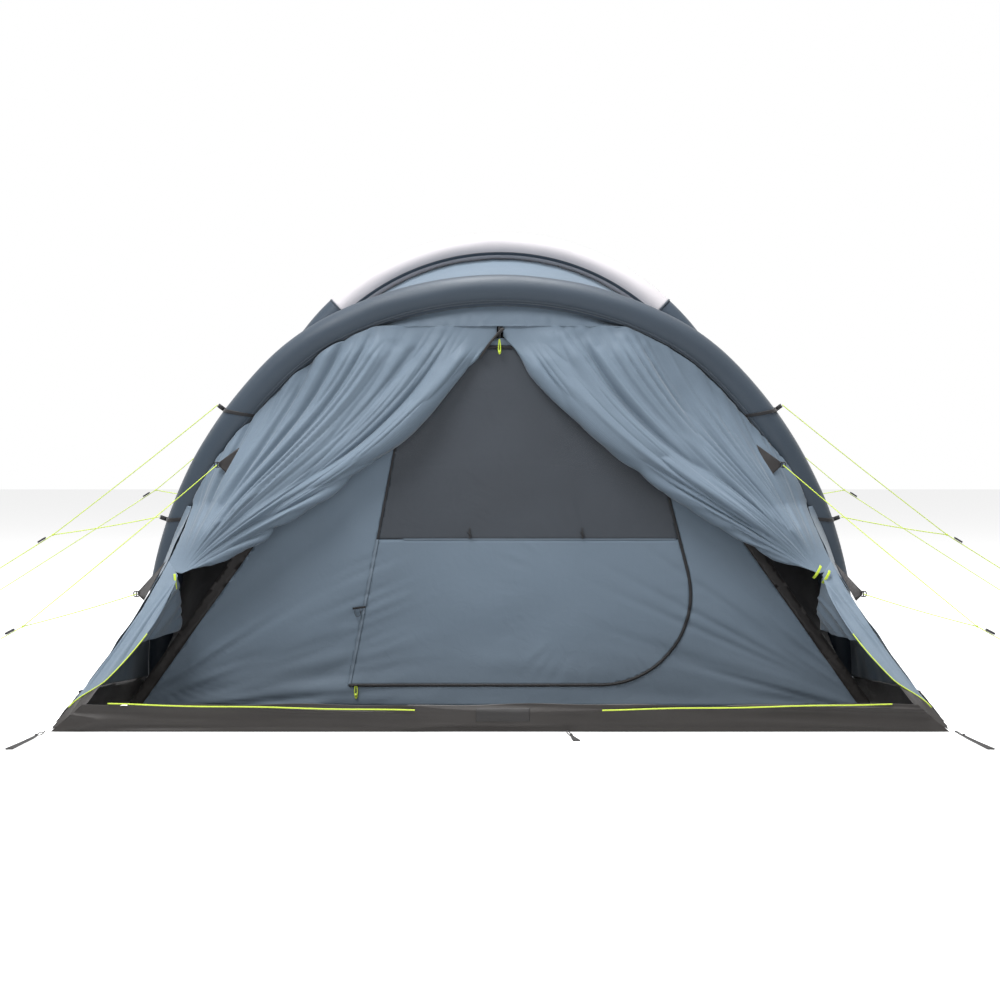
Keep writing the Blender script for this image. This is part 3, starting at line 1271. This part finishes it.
def rear_relief(points):
    """Pulls from the lower corners and from the vent."""
    part = smooth((0.95 - points[:, 2]) / 0.12) * smooth(points[:, 2] / 0.15)
    corners = sum(fan(points, vec(side * 1.05, 0, 0.08), 9, 0.010, 1.1, 121 + side) for side in (1, -1))
    vertical = noise(points, (0.16, 9, 0.9), 123) * 0.004
    return (corners + vertical) * part * 0.8 + crumple(points, 0.25, 0.002, 124) * part


rear_side = REAR.foot_angle(-REAR_INSET, BAND)
rear_flat = REAR.at(np.linspace(-rear_side, rear_side, 160), -REAR_INSET)
rear_outline = np.stack([rear_flat[:, 0], rear_flat[:, 2] / rear_lean], 1)
vent_hole = [(VENT[0] - 0.001, VENT[2] - 0.001), (VENT[1] + 0.001, VENT[2] - 0.001),
             (VENT[1] + 0.001, VENT[3] + 0.001), (VENT[0] - 0.001, VENT[3] + 0.001)]
vent_box = [(VENT[0], VENT[2]), (VENT[1], VENT[2]), (VENT[1], VENT[3]), (VENT[0], VENT[3])]


def reversed_faces(shape):
    points, faces, uv = shape
    return points, [face[::-1] for face in faces], uv


piece("rear_wall_cloth", "tent", FLY, thick(raised(reversed_faces(
    cut(rear_outline, 0.022, in_rear_wall, [vent_hole])), rear_relief)), replaces=["rear_wall"])
piece("rear_vent_net", "tent", MESH, thick(reversed_faces(cut(vent_box, 0.012, in_rear_wall)), 0.0008),
      replaces=["rear_vent_mesh"])


def hood_rows():
    """A flap sewn along its top edge, bellied out and curling at its hem."""
    lowest, highest = low("rear_vent_hood"), high("rear_vent_hood")
    x = np.linspace(lowest[0], highest[0], 70)
    bottom, top = lowest[2] / rear_lean, highest[2] / rear_lean
    rows = []
    for t in np.linspace(0, 1, 34):
        belly = 0.005 + 0.010 * np.sin(np.pi * t * 0.8) * np.cos(x / highest[0] * 1.4)
        rows.append(in_rear_wall(x * (1 + 0.01 * t), mix(top, bottom, t) + 0 * x, belly))
    return rows


piece("rear_vent_hood_cloth", "vent_hood", FLY, thick(raised(
    reversed_faces(grid(hood_rows())), lambda p: crumple(p, 0.06, 0.0012, 131)), 0.0016),
    replaces=["rear_vent_hood"])

STRUT_X, STRUT_TOP = 0.880, 0.712
STRUT_BEHIND = 0.015


def sleeve_relief(turn, s):
    """Slanted ripples along a strut's sleeve, and its seam."""
    return 0.0009 * np.sin(s * 90 + 2 * turn) + 0.0010 * np.exp(-((turn - 3) / 0.2) ** 2)


struts, sleeves, ferrules = [], [], []
for _, side in SIDES:
    foot, head = [in_rear_wall(side * STRUT_X, np.array(z), STRUT_BEHIND) for z in (0.012, STRUT_TOP)]
    line = along(foot, head, 60)
    struts.append(tube(line, 0.0045, 12))
    for part in (0.0, 0.5, 0.97):
        ferrules.append(tube(along(mix(foot, head, part), mix(foot, head, part + 0.03), 8), 0.0052, 12))
    covered = along(mix(foot, head, 0.155), mix(foot, head, 0.87), 110)
    sleeves.append(tube(covered, 0.0078, 20, sleeve_relief))
piece("rear_strut_rods", "tent", FIBREGLASS, *struts, replaces=["rear_struts"])
piece("rear_strut_ferrules", "tent", PLASTIC, *ferrules)
piece("strut_sleeve_cloth", "tent", NAVY, *sleeves, replaces=["strut_sleeves"])

# ---- Guy tabs, cords and runners ----


def on_panel(angle, fold_share, share):
    """A point just in front of a front panel, between its edge at the beam and its fold line."""
    return mix(tucked(angle), mix(FOLD_START, FOLD_END, fold_share), share) + vec(0, -0.010, 0)


UPPER_ROOT = [on_panel(55.25, 9 / 14, 0.17), on_panel(60.6, 10 / 14, 0.38)]
UPPER_TIP = on_panel(60.6, 10 / 14, 0.12) + vec(-0.010, -0.045, 0.025)
LOWER_TIP = ridge(0.44) + vec(0.046, -0.008, -0.006)
BEYOND_TAB = vec(0.004, -0.002, -0.002)  # from a tab's tip to its buckle


def tab(a, b, tip, side):
    """A triangle of doubled cloth from a seam to its tip, with a sewn edge."""
    half_tip = vec(0, 0, 0.006)
    rows = [along(mix(a, tip + half_tip, t), mix(b, tip - half_tip, t), 12) for t in np.linspace(0, 1, 16)]
    shape = raised(grid([mirrored(row, side) for row in rows]), lambda p: crumple(p, 0.03, 0.0012, 141))
    return thick(shape, 0.0028)


def buckle(centre, side, size=0.011):
    """A small moulded ring lock: a rounded frame with a bar across it."""
    turn = np.linspace(0, 2 * np.pi, 36)
    ring = centre + np.stack([side * size * np.sign(np.cos(turn)) * np.abs(np.cos(turn)) ** 0.6,
                              0.15 * size * np.sin(turn),
                              size * 0.9 * np.sign(np.sin(turn)) * np.abs(np.sin(turn)) ** 0.6], 1)
    bar = along(centre + vec(0, 0, -size * 0.9), centre + vec(0, 0, size * 0.9), 8)
    return [tube(ring, 0.0022, 8), tube(bar, 0.0024, 8)]


tabs, buckles = [], []
for _, side in SIDES:
    tabs.append(tab(*UPPER_ROOT, UPPER_TIP, side))
    tabs.append(tab(ridge(0.3) + vec(0.004, 0, 0), ridge(0.48) + vec(0.004, 0, 0), LOWER_TIP, side))
    for tip in (UPPER_TIP, LOWER_TIP):
        buckles.extend(buckle(mirrored(tip + BEYOND_TAB, side), side))
piece("guy_tab_cloth", "tent", BASE, *tabs, replaces=["guy_tabs"])
piece("guy_tab_buckles", "tent", PLASTIC, *buckles)

CORD_R = 0.00175
EYE_R = 0.012


def strap_tip(arch, angle):
    return arch.at(angle + STRAP_SKEW, BEAM_R + STRAP_REACH + CORD_R + 0.001)


strut_head = in_rear_wall(STRUT_X, np.array(0.700), 0.025)
# Each guy: where its branches start, where they join, and where it is pegged
GUYS = {
    "panel": ([UPPER_TIP + BEYOND_TAB, LOWER_TIP + BEYOND_TAB], vec(1.683, FRONT_Y, 0.374),
              vec(2.350, FRONT_Y - 0.4, 0.005), "guy_front_panel"),
    "front": ([strap_tip(FRONT, a) for a in FRONT_STRAPS], vec(1.777, FRONT_Y + 0.9, 0.659),
              vec(2.850, FRONT_Y + 0.9, 0.005), "guy_front_beam"),
    "main": ([strap_tip(MAIN, a) for a in MAIN_STRAPS], vec(1.636, MAIN.foot_y, 0.805),
             vec(2.900, MAIN.foot_y, 0.005), "guy_main_beam"),
    "rear": ([strut_head], strut_head + vec(0.12, 0.12, -0.14), vec(1.480, REAR_Y + 0.6, 0.005), "guy_rear"),
}


def cord(a, b, sag=0.0):
    """A length of twisted cord, hanging a little if it isn't tight."""
    count = max(20, round(np.linalg.norm(b - a) / 0.006))
    line = along(a, b, count)
    line[:, 2] -= sag * 4 * np.linspace(0, 1, count) * (1 - np.linspace(0, 1, count))
    return tube(line, CORD_R, 8, lambda turn, s: 0.00035 * np.sin(2 * turn + s / 0.012 * 2 * np.pi))


def eye(end, outward):
    """The loop at a guy's pegged end."""
    flat = vec(outward[0], outward[1], 0) / np.hypot(outward[0], outward[1])
    centre = end + flat * (EYE_R + 2 * CORD_R)
    turn = np.linspace(0, 2 * np.pi, 30)
    return tube(centre + EYE_R * np.stack([np.cos(turn), np.sin(turn), 0 * turn], 1), CORD_R * 1.2, 8)


RUNNER = vec(0.038, 0.015, 0.006)
RUNNER_START = 0.030


def runner(join, peg, side):
    """A flat slider with rounded ends, threaded by the cord through two holes."""
    ahead = (peg - join) / np.linalg.norm(peg - join)
    wide = np.cross(ahead, [0, 0, 1])
    wide /= np.linalg.norm(wide)
    up = np.cross(wide, ahead)
    start = join + ahead * RUNNER_START
    half = RUNNER[1] / 2
    outline = np.concatenate([circle((half, 0), half, 12, 90, 270),
                              circle((RUNNER[0] - half, 0), half, 12, -90, 90)])
    holes = [circle((x, 0), 0.0026, 12) for x in (half, RUNNER[0] - half)]

    def place(x, y):
        return mirrored(start + x[:, None] * ahead + y[:, None] * wide + up * RUNNER[2] / 2, side)
    flat = cut(outline, 0.0025, place, holes)
    return thick(reversed_faces(flat) if side < 0 else flat, RUNNER[2])


for kind, (starts, join, peg, node) in GUYS.items():
    shapes = []
    for word, side in SIDES:
        shapes += [cord(mirrored(start, side), mirrored(join, side), 0.004) for start in starts]
        shapes += [cord(mirrored(join, side), mirrored(peg, side), 0.006)]
        shapes += [ball(mirrored(join, side), 2.4 * CORD_R), ball(mirrored(peg, side), 2.2 * CORD_R)]
        shapes += [eye(mirrored(peg, side), mirrored(peg - join, side))]
        piece(f"runner_{kind}_{word}_moulded", f"runner_{kind}_{word}", PLASTIC, runner(join, peg, side),
              replaces=[f"runner_{kind}_{word}"])
    piece(f"{node}_cord", "tent", CORD, *shapes, replaces=[node])

# ---- Pegging tabs ----

PEG_HOLE_R = 0.0065
TAB_HEAD_R = 0.014


def peg_tab(root, hole):
    """A tapered webbing tab with a punched hole, on a knotted loop of cord."""
    ahead = (hole - root) / np.linalg.norm(hole - root)
    side = np.array([-ahead[1], ahead[0], 0])
    length = np.linalg.norm(hole - root)
    begin = min(0.10, length * 0.5)
    arc_points = circle((length, 0), TAB_HEAD_R, 16, -80, 80)
    outline = np.concatenate([[(begin, 0.0045)], [(begin, -0.0045)], arc_points])

    def place(x, y):
        curl = 0.001 + 0.0022 * (1 - smooth((x - begin) / 0.05))
        return root * [1, 1, 0] + x[:, None] * ahead + y[:, None] * side + np.outer(curl + 0.003, [0, 0, 1])
    web = thick(cut(outline, 0.005, place, [circle((length, 0), PEG_HOLE_R, 20)]), 0.003)
    cords = []
    for sign in (1, -1):
        t = np.linspace(0, 1, 40)
        swing = 0.006 * np.sin(np.pi * t) * sign
        line = root * [1, 1, 0] + np.outer(t * (begin + 0.006), ahead) + np.outer(swing, side)
        line[:, 2] = 0.0045 + 0.002 * np.sin(np.pi * t * 2 + sign)
        cords.append(tube(line, 0.0019, 8))
    knot = root * [1, 1, 0] + ahead * begin + vec(0, 0, 0.006)
    return [web, *cords, ball(knot, 0.0055)]


pegs = {
    "corner": (vec(HALF_WIDTH + 0.004, FRONT_Y - 0.012, 0), vec(1.634, FRONT_Y - 0.400, 0)),
    "front": (vec(1.345, FRONT.foot_y + 0.09, 0), vec(1.500, FRONT.foot_y + 0.09, 0)),
    "main": (vec(1.375, MAIN.foot_y + 0.095, 0), vec(1.620, MAIN.foot_y + 0.095, 0)),
    "rear": (vec(0.965, REAR_Y + 0.014, 0), vec(1.030, REAR_Y + 0.110, 0)),
}
peg_shapes = []
for root, hole in pegs.values():
    for _, side in SIDES:
        peg_shapes += peg_tab(mirrored(root, side), mirrored(hole, side))
peg_shapes += peg_tab(vec(0.235, FRONT_Y - 0.008, 0), vec(0.262, FRONT_Y - 0.210, 0))
piece("peg_tab_webbing", "tent", WEBBING, *peg_shapes, replaces=["peg_tabs"])


# ---- Studio: pale floor, soft light and the camera ----

FLOOR_GLOW, SKY_LIGHT = 0.64, 0.29
LAMPS = (("key", (-3.5, -6.0, 9), 4, 800), ("fill", (6, -7, 6), 5, 110),
         ("front", (0, -10, 2.2), 5, 125), ("top", (0, -1.0, 8), 3, 760))  # name, place, size, watts
LENS = 71.6
CAMERA_BACK, CAMERA_HEIGHT, CAMERA_DIP = 7.0, 1.0, 1.47


def studio_floor():
    floor = bpy.data.meshes.new("studio_floor")
    reach = 40
    floor.from_pydata([(-reach, -reach, 0), (reach, -reach, 0), (reach, reach, 0), (-reach, reach, 0)],
                      [], [(0, 1, 2, 3)])
    material, tree, _ = started("studio_pale", "stage")
    seen = add(tree, "LightPath").outputs["Is Camera Ray"]
    bright = calc(tree, "MULTIPLY", seen, FLOOR_GLOW)
    ended(tree, add(tree, "BsdfPrincipled", {
        "Base Color": (0.80, 0.80, 0.80, 1), "Roughness": 0.9, "Emission Color": (1, 1, 1, 1),
        "Emission Strength": bright}))
    floor.materials.append(material)
    placed = bpy.data.objects.new("studio_floor", floor)
    placed.location.z = -0.001
    bpy.context.scene.collection.objects.link(placed)


def studio_light():
    world = bpy.data.worlds.new("studio_sky")
    world.use_nodes = True
    tree = world.node_tree
    seen = add(tree, "LightPath").outputs["Is Camera Ray"]
    strength = between(tree, seen, SKY_LIGHT, 1.0)
    backdrop = tree.nodes["Background"]
    backdrop.inputs[0].default_value = (1, 1, 1, 1)
    tree.links.new(strength, backdrop.inputs[1])
    bpy.context.scene.world = world

    for name, place, size, power in LAMPS:
        light = bpy.data.lights.new(name, "AREA")
        light.size, light.energy = size, power
        lamp = bpy.data.objects.new(name, light)
        lamp.location = place
        lamp.rotation_euler = (Vector((0, 0, 0.7)) - lamp.location).to_track_quat("-Z", "Y").to_euler()
        bpy.context.scene.collection.objects.link(lamp)


def studio_camera():
    camera = bpy.data.objects.new("camera", bpy.data.cameras.new("camera"))
    camera.data.lens = LENS
    camera.location = (0, FRONT_Y - CAMERA_BACK, CAMERA_HEIGHT)
    camera.rotation_euler = (np.radians(90 - CAMERA_DIP), 0, 0)
    bpy.context.scene.collection.objects.link(camera)
    bpy.context.scene.camera = camera
    bpy.context.scene.view_settings.view_transform = "Standard"


studio_floor()
studio_light()
studio_camera()
